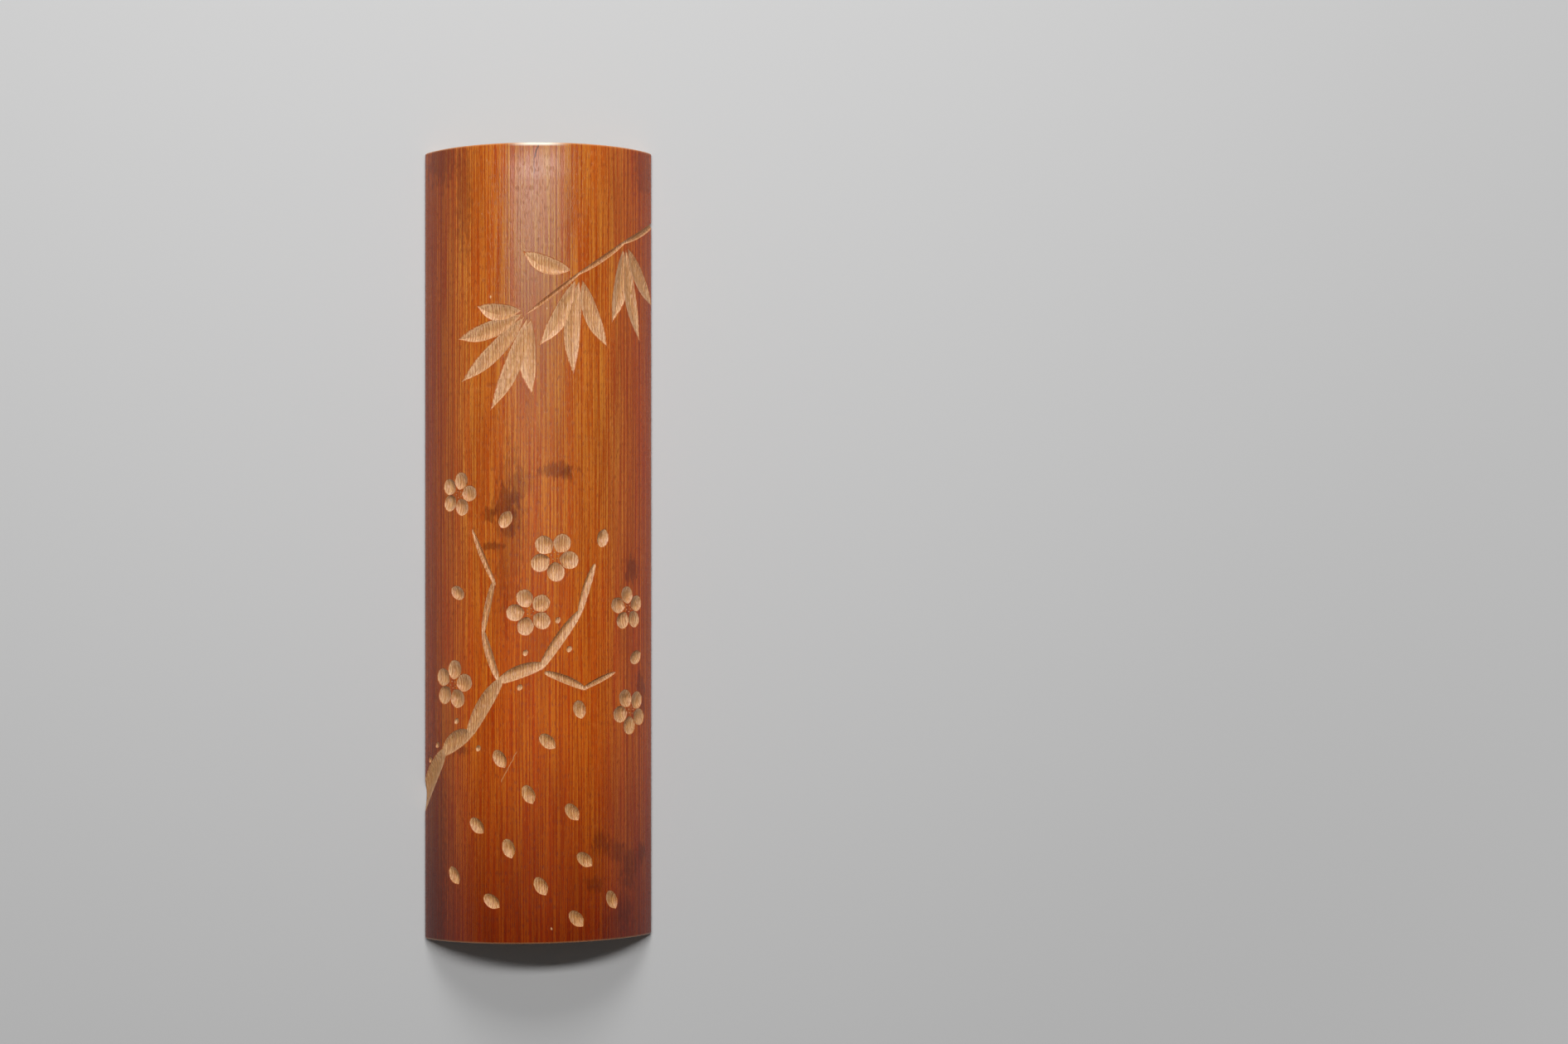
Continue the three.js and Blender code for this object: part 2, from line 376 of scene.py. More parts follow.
def cut_blossom(at, turn, share):
    """Five petals round an eye of uncut skin, which is pricked with small dots for the stamens."""
    blossom_size = 13.4
    eye_size = 3
    fullness = 1.06
    petal_web = 0.35
    petal_turn = 72
    prick_share = 0.62
    prick_size = 0.5
    prick_depth = 0.3 * mm
    outer = blossom_size * share / 2
    inner = eye_size * share / 2
    across = (outer + inner) * math.sin(math.radians(petal_turn / 2)) * fullness - petal_web
    for petal in range(5):
        heading = turn + petal_turn * petal
        cut_stroke("petal", towards(at, heading, outer), towards(at, heading, inner), across)
    for stamen in range(5):
        prick = towards(at, turn + petal_turn * (stamen + 0.5), inner * prick_share)
        cut_stroke("dot", prick, towards(prick, turn, prick_size), prick_size, deep=prick_depth)


def cut_plum():
    """A branch grows in over the left edge, with two twigs, blossoms, buds and dots of moss."""
    branch_width = 5.6
    twig_width = 2.2
    twig_end_width = twig_width * 0.7
    bud_length = 5
    bud_width = 3.5
    moss_heading = 60
    moss_length = 2
    moss_width = 1.6
    moss_depth = 0.46 * mm
    branch_places = ((-1, 33), (11, 50), (20, 55), (29, 69), (40, 73), (50, 87), (54, 99))
    branch = [from_left_edge(*at) for at in branch_places]
    upper_twig = [from_left_edge(*at) for at in ((28, 70), (24, 82), (27, 95), (21, 108))]
    lower_twig = [from_left_edge(*at) for at in ((41, 71), (51, 67), (60, 71))]
    blossoms = (
        (14, 68, 10, 1),
        (36.5, 87, 40, 0.95),
        (43, 101.5, 62, 1),
        (65, 88, 25, 0.9),
        (66, 61, 50, 0.95),
        (16, 118, 5, 0.9),
    )
    buds = ((29, 109, 60), (18, 91, 150), (56, 104, 75), (49, 64, -75), (66, 74, 25))
    moss = ((4, 47), (7.5, 51), (15, 57.5), (22, 50.5), (35, 75.5), (33.5, 66.5), (46.5, 76.5), (43.5, 84))
    cut_branch(branch, branch_width, twig_width)
    cut_branch(upper_twig, twig_width, twig_end_width)
    cut_branch(lower_twig, twig_width, twig_end_width)
    for from_edge, from_foot, turn, share in blossoms:
        cut_blossom(from_left_edge(from_edge, from_foot), turn, share)
    for from_edge, from_foot, heading in buds:
        at = from_left_edge(from_edge, from_foot)
        cut_stroke("bud", at, towards(at, heading, bud_length), bud_width)
    for from_edge, from_foot in moss:
        at = from_left_edge(from_edge, from_foot)
        cut_stroke("dot", at, towards(at, moss_heading, moss_length), moss_width, deep=moss_depth)


def cut_fallen_petals():
    """Single petals drift down below the branch."""
    petal_length = 5.4
    petal_width = 3.4
    petals = (
        (27, 51, -58), (39, 55, -40), (35, 42, -66), (46, 37, -52), (20, 33, -45), (30, 28, -72),
        (49, 24, -38), (38, 18, -60), (13, 20, -55), (24, 13, -35), (58, 14, -62), (47, 9, -48),
    )
    for from_edge, from_foot, heading in petals:
        at = from_left_edge(from_edge, from_foot)
        cut_stroke("fallen_petal", at, towards(at, heading, petal_length), petal_width)


def stroke_value(tree, name, kind="FLOAT"):
    return add(tree, "GeometryNodeInputNamedAttribute", {"Name": name}, data_type=kind).outputs[0]


def make_carving_tree():
    """Rolls each stroke onto the culm at its place and takes them all away from the strip."""
    tree, given = start_tree("gouge_carving", {
        "Strokes": "Object",
        "Forms": "Collection",
        "Culm Radius": "Float",
        "Axis Height": "Float",
        "Rim Lift": "Float",
        "Surface": "Material",
    })
    points = add(tree, "GeometryNodeObjectInfo", {"Object": given["Strokes"]}).outputs["Geometry"]
    number = calc(tree, "ADD", add(tree, "GeometryNodeInputIndex").outputs[0], 1.0)
    numbered = add(tree, "GeometryNodeStoreNamedAttribute", {
        "Geometry": points,
        "Name": "stroke",
        "Value": number,
    }, data_type="INT").outputs[0]
    forms = add(tree, "GeometryNodeCollectionInfo", {
        "Collection": given["Forms"],
        "Separate Children": True,
        "Reset Children": True,
    }).outputs[0]
    copies = add(tree, "GeometryNodeInstanceOnPoints", {
        "Points": numbered,
        "Instance": forms,
        "Pick Instance": True,
        "Instance Index": stroke_value(tree, "form", "INT"),
    }).outputs[0]
    blanks = add(tree, "GeometryNodeRealizeInstances", {"Geometry": copies}).outputs[0]

    here = add(tree, "GeometryNodeInputPosition").outputs[0]
    u, v, fall = add(tree, "ShaderNodeSeparateXYZ", {"Vector": here}).outputs
    ahead = calc(tree, "MULTIPLY", calc(tree, "MULTIPLY", u, stroke_value(tree, "reach")), 0.5)
    half_across = calc(tree, "MULTIPLY", stroke_value(tree, "across"), 0.5)
    bend = calc(tree, "SUBTRACT", 1.0, calc(tree, "MULTIPLY", u, u))
    bowed = calc(tree, "MULTIPLY", stroke_value(tree, "bow"), bend)
    aside = calc(tree, "MULTIPLY_ADD", v, half_across, bowed)
    cosine = calc(tree, "COSINE", stroke_value(tree, "heading"))
    sine = calc(tree, "SINE", stroke_value(tree, "heading"))
    aside_around = calc(tree, "MULTIPLY", aside, sine)
    turned_around = calc(tree, "SUBTRACT", calc(tree, "MULTIPLY", ahead, cosine), aside_around)
    turned_along = calc(tree, "MULTIPLY_ADD", ahead, sine, calc(tree, "MULTIPLY", aside, cosine))
    around = calc(tree, "ADD", stroke_value(tree, "around"), turned_around)
    along = calc(tree, "ADD", stroke_value(tree, "along"), turned_along)
    full_depth = calc(tree, "ADD", stroke_value(tree, "deep"), given["Rim Lift"])
    height = calc(tree, "SUBTRACT", given["Rim Lift"], calc(tree, "MULTIPLY", full_depth, fall))
    angle = calc(tree, "DIVIDE", around, given["Culm Radius"])
    radius = calc(tree, "ADD", given["Culm Radius"], height)
    rolled = add(tree, "ShaderNodeCombineXYZ", {
        "X": calc(tree, "MULTIPLY", radius, calc(tree, "SINE", angle)),
        "Y": along,
        "Z": calc(tree, "MULTIPLY_ADD", radius, calc(tree, "COSINE", angle), given["Axis Height"]),
    }).outputs[0]
    cutters = add(tree, "GeometryNodeSetPosition", {"Geometry": blanks, "Position": rolled}).outputs[0]
    marked = add(tree, "GeometryNodeStoreNamedAttribute", {
        "Geometry": cutters,
        "Name": "gouged",
        "Value": True,
    }, data_type="BOOLEAN", domain="FACE").outputs[0]
    single = add(tree, "GeometryNodeSplitToInstances", {
        "Geometry": marked,
        "Group ID": stroke_value(tree, "stroke", "INT"),
    }, domain="POINT").outputs[0]
    carved = add(tree, "GeometryNodeMeshBoolean", {
        "Mesh 1": given["Geometry"],
        "Mesh 2": single,
    }, operation="DIFFERENCE", solver="MANIFOLD").outputs[0]
    end_tree(tree, carved, given["Surface"], stroke_value(tree, "gouged", "BOOLEAN"))
    return tree


def carve(strip):
    forms = bpy.data.collections.new("gouge_forms")
    for name, shape in gouge_forms.items():
        forms.objects.link(make_gouge_form(name, **shape))
    points = bpy.data.meshes.new("strokes")
    points.from_pydata([(0, 0, 0)] * len(gouge_strokes), [], [])
    for name in gouge_strokes[0]:
        values = points.attributes.new(name, "INT" if name == "form" else "FLOAT", "POINT")
        values.data.foreach_set("value", [stroke[name] for stroke in gouge_strokes])
    strokes = bpy.data.objects.new("strokes", points)
    run_tree(strip, make_carving_tree(), {
        "Strokes": strokes,
        "Forms": forms,
        "Culm Radius": culm_radius,
        "Axis Height": axis_height,
        "Rim Lift": rim_lift,
        "Surface": surfaces["cut_fibre"],
    })
    carved = settle(strip, "carved_strip")
    for name in (*gouge_strokes[0], "stroke", "gouged"):
        carved.data.attributes.remove(carved.data.attributes[name])
    for form in list(forms.objects):
        bpy.data.objects.remove(form)
    bpy.data.objects.remove(strokes)
    bpy.data.collections.remove(forms)
    return carved


cut_leaf_spray()
cut_plum()
cut_fallen_petals()
carved_strip = carve(make_strip())


def ring_section(outer_radius, inner_radius):
    """A section that holds the whole strip between two radii, and reaches past its two feet."""
    extra_flats = 12
    limit = half_angle + extra_flats * flat_angle
    return [*arc_points(outer_radius, limit), *reversed(arc_points(inner_radius, limit))]


def soften_shading(mesh):
    """Shades the rounded faces smooth, with crisp edges at corners and between two surfaces."""
    crisp = math.radians(40)
    shape = bmesh.new()
    shape.from_mesh(mesh)
    for face in shape.faces:
        face.smooth = True
    for edge in shape.edges:
        one, other = edge.link_faces
        edge.smooth = one.material_index == other.material_index and edge.calc_face_angle() < crisp
    shape.to_mesh(mesh)
    shape.free()


def keep_own_surfaces(mesh):
    """Drops the surfaces that no face of the mesh has."""
    used = sorted({face.material_index for face in mesh.polygons})
    kept = [mesh.materials[index] for index in used]
    places = [used.index(face.material_index) for face in mesh.polygons]
    mesh.materials.clear()
    for surface in kept:
        mesh.materials.append(surface)
    mesh.polygons.foreach_set("material_index", places)


def take_layer(name, outer_radius, inner_radius):
    """The layer of the carved strip between two radii of the culm, as a closed piece of its own."""
    ring_length = length * 1.1
    ring = sweep_section(name + "_ring", ring_section(outer_radius, inner_radius), ring_length, 0)
    layer = place(name, carved_strip.data.copy())
    between = layer.modifiers.new("between_rings", "BOOLEAN")
    between.operation = "INTERSECT"
    between.solver = "MANIFOLD"
    between.object = ring
    layer = settle(layer, name)
    bpy.data.objects.remove(ring)
    soften_shading(layer.data)
    keep_own_surfaces(layer.data)
    return layer


# The rind
# The hard outer layer of the culm, toned a warm orange brown and polished to a satin gloss. Its colour
# holds painted shade, darker along the margins, over the lower half and at the foot end, and a painted sheen,
# a greyer tone on the crown towards the head end. It is open wherever a stroke went through it.
def tone(code):
    """A colour written as six hex digits, as the linear numbers that a shader takes."""
    shares = [int(code[i:i + 2], 16) / 255 for i in (0, 2, 4)]
    return (*[share / 12.92 if share <= 0.04045 else ((share + 0.055) / 1.055) ** 2.4 for share in shares], 1)


def make_culm_place():
    """A group that says where a point of the culm is, in millimetres.

    It gives the way round the culm, along it, into the wall and in from the nearer end. The fibres stray a
    little to the side, and so does the way round. The foot end's slant is taken out of the way from the end.
    """
    stray_reach = 0.8
    stray_around = 0.04
    stray_along = 0.012
    tree = bpy.data.node_groups.new("culm_place", "ShaderNodeTree")
    here = add(tree, "ShaderNodeTexCoord").outputs["Object"]
    x, y, z = add(tree, "ShaderNodeSeparateXYZ", {"Vector": here}).outputs
    up = calc(tree, "SUBTRACT", z, axis_height)
    radius = calc(tree, "SQRT", calc(tree, "MULTIPLY_ADD", x, x, calc(tree, "MULTIPLY", up, up)))
    turned = calc(tree, "MULTIPLY", calc(tree, "ARCTAN2", x, up), culm_radius / mm)
    stray_at = add(tree, "ShaderNodeCombineXYZ", {
        "X": calc(tree, "MULTIPLY", turned, stray_around),
        "Y": calc(tree, "MULTIPLY", y, stray_along / mm),
    }).outputs[0]
    stray = add(tree, "ShaderNodeTexNoise", {"Vector": stray_at, "Scale": 1.0, "Detail": 1.0}).outputs["Fac"]
    shear = calc(tree, "MULTIPLY", calc(tree, "ADD", x, half_spread), end_slant)
    unsheared = calc(tree, "MULTIPLY_ADD", shear, -0.5, y)
    squared = calc(tree, "DIVIDE", unsheared, calc(tree, "MULTIPLY_ADD", shear, -1 / length, 1.0))
    places = {
        "Around": calc(tree, "MULTIPLY_ADD", stray, stray_reach, calc(tree, "ADD", turned, -stray_reach / 2)),
        "Along": calc(tree, "MULTIPLY", y, 1 / mm),
        "Depth": calc(tree, "MULTIPLY_ADD", radius, -1 / mm, culm_radius / mm),
        "From End": calc(tree, "MULTIPLY_ADD", calc(tree, "ABSOLUTE", squared), -1 / mm, length / mm / 2),
    }
    for name in places:
        tree.interface.new_socket(name, in_out="OUTPUT", socket_type="NodeSocketFloat")
    add(tree, "NodeGroupOutput", places)
    return tree


culm_place = make_culm_place()


def open_surface(name, roughness):
    """Starts a finish and returns its tree, its shader and the sockets of the place on the culm."""
    surfaces[name].use_nodes = True
    tree = surfaces[name].node_tree
    shader = tree.nodes["Principled BSDF"]
    shader.inputs["Roughness"].default_value = roughness
    return tree, shader, add(tree, "ShaderNodeGroup", node_tree=culm_place).outputs


def grain(tree, spot, across, along, seed, detail=1.0):
    """Long streaks: noise of this size in millimetres across and along the fibres."""
    vector = add(tree, "ShaderNodeCombineXYZ", {
        "X": calc(tree, "DIVIDE", spot["Around"], across),
        "Y": calc(tree, "DIVIDE", spot["Along"], along),
        "Z": float(seed),
    }).outputs[0]
    return add(tree, "ShaderNodeTexNoise", {"Vector": vector, "Scale": 1.0, "Detail": detail}).outputs["Fac"]


def strands(tree, spot, across, seed, detail=2.0):
    """Straight fibres that run on from end to end, as noise that changes only round the culm."""
    vector = add(tree, "ShaderNodeCombineXYZ", {
        "X": calc(tree, "DIVIDE", spot["Around"], across),
        "Y": float(seed),
    }).outputs[0]
    return add(tree, "ShaderNodeTexNoise", {"Vector": vector, "Scale": 1.0, "Detail": detail}).outputs["Fac"]


def fade(tree, value, low, high, at_low=0.0, at_high=1.0):
    """A soft step from one level to another as a value goes from low to high."""
    levels = {"Value": value, "From Min": low, "From Max": high, "To Min": at_low, "To Max": at_high}
    return add(tree, "ShaderNodeMapRange", levels, interpolation_type="SMOOTHSTEP").outputs[0]


def blend(tree, share, first, second, way="MIX"):
    mixed = add(tree, "ShaderNodeMix", {0: share, 6: first, 7: second}, data_type="RGBA", blend_type=way)
    return mixed.outputs[2]


def lay(tree, colour, where, strength, code):
    """Lays a tone over the colour, at this strength where the mask is 1 and not at all where it is 0."""
    return blend(tree, calc(tree, "MULTIPLY", where, strength), colour, tone(code))


def emboss(tree, shader, height, depth):
    bump = add(tree, "ShaderNodeBump", {"Height": height, "Distance": depth, "Strength": 1.0}).outputs[0]
    tree.links.new(bump, shader.inputs["Normal"])


def stain(tree, spot, around, along, half_width, half_length):
    """How far a place is inside an oval with a ragged, fibrous edge: 1 at its heart and 0 outside."""
    raggedness = 2.0
    out_x = calc(tree, "DIVIDE", calc(tree, "SUBTRACT", spot["Around"], around), half_width)
    out_y = calc(tree, "DIVIDE", calc(tree, "SUBTRACT", spot["Along"], along), half_length)
    out = calc(tree, "SQRT", calc(tree, "MULTIPLY_ADD", out_x, out_x, calc(tree, "MULTIPLY", out_y, out_y)))
    evened = calc(tree, "ADD", out, -raggedness / 2)
    edge = grain(tree, spot, across=0.8, along=2.6, seed=7 + along, detail=3.0)
    ragged = calc(tree, "MULTIPLY_ADD", edge, raggedness, evened)
    return fade(tree, ragged, 1.0, 0.45)


def hairline(tree, spot, start, end, half_width):
    """How far a place is on a fine, wavering line between two places: 1 at its middle and 0 outside."""
    waver_reach = 0.8
    lean = (end[0] - start[0]) / (end[1] - start[1])
    crossing = start[0] - lean * start[1]
    waver = grain(tree, spot, across=40, along=1.1, seed=start[1], detail=2.0)
    waver = calc(tree, "MULTIPLY_ADD", waver, waver_reach, crossing - waver_reach / 2)
    middle = calc(tree, "MULTIPLY_ADD", spot["Along"], lean, waver)
    aside = calc(tree, "ABSOLUTE", calc(tree, "SUBTRACT", spot["Around"], middle))
    halfway = (start[1] + end[1]) / 2
    beyond = calc(tree, "ABSOLUTE", calc(tree, "SUBTRACT", spot["Along"], halfway))
    half_length = abs(end[1] - start[1]) / 2
    within = fade(tree, beyond, half_length, half_length * 0.8)
    return calc(tree, "MULTIPLY", fade(tree, aside, half_width, half_width * 0.4), within)


skin_satin = 0.25
# Painted sheen: a greyer, bluer tone laid on the crown towards the head end.
crown_sheen_tint = (0.8, 1.02, 1.25, 1)
# Painted shade: the steep margins are darkened, the left more than the right.
left_margin_shade = (0.74, 0.51, 0.08, 1)
right_margin_shade = (0.97, 0.63, 0.1, 1)
# Painted shade: darker over the lower half and darker still at the foot end.
lower_half_shade = (1, 0.77, 0.4, 1)
foot_end_shade = (0.48, 0.3, 0.14, 1)


def tone_fibres(tree, spot):
    """Light and dark fibres, with dark seams between some of them, short dark dashes and light flecks."""
    straight_share = 0.6
    straight = calc(tree, "MULTIPLY", strands(tree, spot, across=0.42, seed=1), straight_share)
    varied = grain(tree, spot, across=0.4, along=30, seed=1)
    fibres = calc(tree, "MULTIPLY_ADD", varied, 1 - straight_share, straight)
    fibres = fade(tree, fibres, 0.42, 0.58)
    colour = blend(tree, fibres, tone("a64006"), tone("ce7e2c"))
    reddish = fade(tree, grain(tree, spot, across=1.8, along=46, seed=2), 0.42, 0.64)
    colour = lay(tree, colour, reddish, 0.5, "ba4e10")
    seams = fade(tree, strands(tree, spot, across=0.3, seed=8), 0.54, 0.62)
    deep_seams = fade(tree, grain(tree, spot, across=1.2, along=24, seed=3), 0.3, 0.6)
    seams = calc(tree, "MULTIPLY", seams, deep_seams)
    colour = lay(tree, colour, seams, 0.75, "843204")
    dashes = fade(tree, grain(tree, spot, across=0.26, along=1.7, seed=4, detail=2.0), 0.5, 0.7)
    colour = lay(tree, colour, dashes, 0.6, "7c3206")
    flecks = fade(tree, grain(tree, spot, across=0.24, along=2.2, seed=6, detail=2.0), 0.54, 0.72)
    colour = lay(tree, colour, flecks, 0.45, "d4843c")
    broad = fade(tree, grain(tree, spot, across=5, along=40, seed=5, detail=2.0), 0.38, 0.72)
    colour = lay(tree, colour, broad, 0.25, "8a3c0a")
    return colour, fibres, dashes, flecks


def stain_skin(tree, spot, colour):
    """Dark stains, each with its place round and along, half its width and length, and its strength."""
    stains = (
        (4.7, 19.2, 5.8, 2.6, 0.5), (7.4, 18.6, 2, 3, 0.4), (-8.4, 9.4, 4.2, 7.4, 0.5),
        (-6.6, 12.6, 2.6, 2.2, 0.4), (-7.2, 8.6, 1.8, 2.4, 0.4), (-8, 3.6, 2.4, 2.4, 0.45),
        (-12.8, 8, 2.6, 2.2, 0.5), (-12.3, -0.4, 4.2, 1.4, 0.55), (-4.1, 16.5, 4, 5, 0.25),
        (-7.5, 4, 5, 28, 0.3), (27.9, -6.4, 3, 4.6, 0.6), (31.7, -39.6, 2.6, 10, 0.55),
        (-21.8, -53.7, 3.4, 1.8, 0.5), (17, -78, 3.2, 4, 0.4), (22.4, -80.4, 4, 3.4, 0.4),
        (26.6, -85.5, 4.2, 6.5, 0.5), (32, -81.5, 2.6, 4, 0.5), (15.2, -89, 3.6, 2.6, 0.35),
        (24.6, -96.5, 3.4, 6, 0.4), (23, -100, 8, 7, 0.3), (-29, 102, 8, 9, 0.5),
        (-21, 92, 3.4, 20, 0.35), (-32, -82, 6.5, 44, 0.4), (33, 102, 6, 12, 0.4),
    )
    for around, along, half_width, half_length, strength in stains:
        dark = stain(tree, spot, around, along, half_width, half_length)
        colour = lay(tree, colour, dark, strength, "5a2008")
    return colour


def tint_skin(tree, spot, off_crown, colour):
    """Adds darker streaks on the margins, paints part of the crown's sheen as a greyer tone towards the head
    end, and paints shade as darker margins, a darker lower half and a darker foot end.
    """
    streaks = fade(tree, strands(tree, spot, across=0.8, seed=12), 0.46, 0.58)
    streaks = calc(tree, "MULTIPLY", streaks, fade(tree, off_crown, 19.0, 27.0))
    colour = lay(tree, colour, streaks, 0.55, "742a04")
    # Painted sheen: the crown is tinted greyer towards the head end, and darker fibre lines are laid over
    # that sheen.
    crown = calc(tree, "MULTIPLY", fade(tree, off_crown, 13.0, 3.0), fade(tree, spot["Along"], 5.0, 80.0))
    colour = blend(tree, crown, colour, crown_sheen_tint, "MULTIPLY")
    lines = calc(tree, "MULTIPLY", fade(tree, strands(tree, spot, across=0.5, seed=15), 0.5, 0.6), crown)
    colour = lay(tree, colour, lines, 0.35, "8a4420")
    # Painted shade: the margins are darkened, the left more than the right.
    colour = blend(tree, fade(tree, spot["Around"], -20.0, -33.0), colour, left_margin_shade, "MULTIPLY")
    colour = blend(tree, fade(tree, spot["Around"], 20.0, 32.0), colour, right_margin_shade, "MULTIPLY")
    # Painted shade: the lower half is darkened, and the foot end more so.
    off_margins = fade(tree, off_crown, 31.0, 20.0)
    lower_half = calc(tree, "MULTIPLY", off_margins, fade(tree, spot["Along"], 25.0, -45.0))
    colour = blend(tree, lower_half, colour, lower_half_shade, "MULTIPLY")
    return blend(tree, fade(tree, spot["Along"], -42.0, -106.0), colour, foot_end_shade, "MULTIPLY")


def crack_skin(tree, spot, dashes):
    """How far a place is in the hair crack, which runs in from the head end and ends as a broken line."""
    crack = hairline(tree, spot, (0.2, 104.4), (-1.1, 100.4), half_width=0.2)
    crack_end = hairline(tree, spot, (-1.1, 100.8), (-1.0, 96.4), half_width=0.17)
    broken = calc(tree, "MULTIPLY_ADD", dashes, 0.6, 0.4)
    return calc(tree, "MAXIMUM", crack, calc(tree, "MULTIPLY", crack_end, broken))


def wear_skin_and_paint_glint(tree, spot, off_crown, colour):
    """One scratch, three nicks, rubbed end edges, and a painted glint: a near-white patch on the middle of
    the head-end lip.
    """
    scratch = hairline(tree, spot, (-5.4, -53.7), (-9.95, -62.3), half_width=0.16)
    colour = lay(tree, colour, scratch, 0.55, "d0a070")
    for around, along in ((-12.8, 64.6), (2.35, 61.4), (3.4, -100.1)):
        nick = stain(tree, spot, around, along, half_width=0.35, half_length=0.5)
        colour = lay(tree, colour, nick, 0.8, "dcb080")
    worn = fade(tree, spot["From End"], 0.6, 0.1)
    colour = lay(tree, colour, worn, 0.6, "d09058")
    # Painted glint: a near-white patch on the middle of the head-end lip.
    lip_glint = calc(tree, "MULTIPLY", fade(tree, off_crown, 9.0, 1.5), fade(tree, spot["Along"], 103.6, 104.3))
    return lay(tree, colour, lip_glint, 0.95, "f8ead6"), worn


def finish_skin():
    tree, shader, spot = open_surface("polished_skin", skin_satin)
    shader.inputs["IOR"].default_value = 1.38
    off_crown = calc(tree, "ABSOLUTE", spot["Around"])
    colour, fibres, dashes, flecks = tone_fibres(tree, spot)
    colour = stain_skin(tree, spot, colour)
    colour = tint_skin(tree, spot, off_crown, colour)
    crack = crack_skin(tree, spot, dashes)
    colour = blend(tree, crack, colour, tone("3a1406"))
    colour, worn = wear_skin_and_paint_glint(tree, spot, off_crown, colour)
    tree.links.new(colour, shader.inputs["Base Color"])
    polished = calc(tree, "MULTIPLY_ADD", worn, -0.1, skin_satin)
    tree.links.new(calc(tree, "MULTIPLY_ADD", dashes, 0.14, polished), shader.inputs["Roughness"])
    relief = calc(tree, "SUBTRACT", calc(tree, "ADD", fibres, flecks), calc(tree, "ADD", dashes, crack))
    emboss(tree, shader, relief, depth=0.011 * mm)


finish_skin()
past_skin = culm_radius * 1.1
rind = take_layer("toned_rind", past_skin, culm_radius - rind_thickness)
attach(rind, "root")
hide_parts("rind")


# The culm wall
# The pale fibre body under the rind, full of fine bundles that run along the culm. It shows in the floors of
# the strokes, at the two sawn and toned ends and on the planed feet.
lining_thickness = 0.5 * mm
# Painted shade: the stroke floors are darker towards the foot end.
low_floor_shade = (0.92, 0.88, 0.75, 1)


def bundles(tree, spot, spacing, seed):
    """Cut fibre bundles: round dots across the grain, and dashes where a cut slopes along it."""
    drift = 0.02
    vector = add(tree, "ShaderNodeCombineXYZ", {
        "X": calc(tree, "DIVIDE", spot["Around"], spacing),
        "Y": calc(tree, "DIVIDE", spot["Depth"], spacing),
        "Z": calc(tree, "MULTIPLY_ADD", spot["Along"], drift, float(seed)),
    }).outputs[0]
    return add(tree, "ShaderNodeTexVoronoi", {"Vector": vector, "Scale": 1.0}).outputs["Distance"]


def steepness(tree):
    """How steep a cut stands to the skin round it: 0 along the skin and 1 straight into the wall."""
    place_and_way = add(tree, "ShaderNodeTexCoord").outputs
    x, y, z = add(tree, "ShaderNodeSeparateXYZ", {"Vector": place_and_way["Object"]}).outputs
    up = calc(tree, "SUBTRACT", z, axis_height)
    outwards = add(tree, "ShaderNodeCombineXYZ", {"X": x, "Z": up}).outputs[0]
    outwards = add(tree, "ShaderNodeVectorMath", {0: outwards}, operation="NORMALIZE").outputs[0]
    along_skin = {0: outwards, 1: place_and_way["Normal"]}
    flatness = add(tree, "ShaderNodeVectorMath", along_skin, operation="DOT_PRODUCT").outputs["Value"]
    return calc(tree, "SUBTRACT", 1.0, flatness)


def finish_cut_fibre():
    tree, shader, spot = open_surface("cut_fibre", roughness=0.48)
    deep = fade(tree, spot["Depth"], 0.3, 0.75)
    colour = blend(tree, deep, tone("eaba88"), tone("dca86c"))
    bundle = fade(tree, strands(tree, spot, across=0.38, seed=20, detail=1.0), 0.44, 0.56)
    bundle = calc(tree, "MULTIPLY", bundle, fade(tree, spot["Depth"], 0.05, 0.3))
    colour = lay(tree, colour, bundle, 0.8, "b0683a")
    fine = fade(tree, bundles(tree, spot, spacing=0.34, seed=3), 0.2, 0.5, at_low=1.0, at_high=0.0)
    colour = lay(tree, colour, fine, 0.35, "ae7648")
    soft = grain(tree, spot, across=0.26, along=1.5, seed=21, detail=2.0)
    dashes = fade(tree, soft, 0.5, 0.64)
    colour = lay(tree, colour, dashes, 0.6, "96602e")
    light = fade(tree, grain(tree, spot, across=0.28, along=1.8, seed=22, detail=2.0), 0.54, 0.68)
    colour = lay(tree, colour, light, 0.6, "e8b898")
    # Painted shade: the steep walls of the strokes are darkened.
    steep_wall_shade = fade(tree, steepness(tree), 0.12, 0.34)
    colour = lay(tree, colour, steep_wall_shade, 0.25, "8a5028")
    # Painted shade: the stroke floors are darker towards the foot end.
    colour = blend(tree, fade(tree, spot["Along"], -20.0, -70.0), colour, low_floor_shade, "MULTIPLY")
    rim = grain(tree, spot, across=0.3, along=0.9, seed=23, detail=3.0)
    toned = fade(tree, calc(tree, "MULTIPLY_ADD", rim, 0.36, spot["Depth"]), 0.34, 0.2)
    colour = blend(tree, toned, colour, tone("b05c22"))
    tree.links.new(colour, shader.inputs["Base Color"])
    emboss(tree, shader, calc(tree, "ADD", soft, bundle), depth=0.06 * mm)


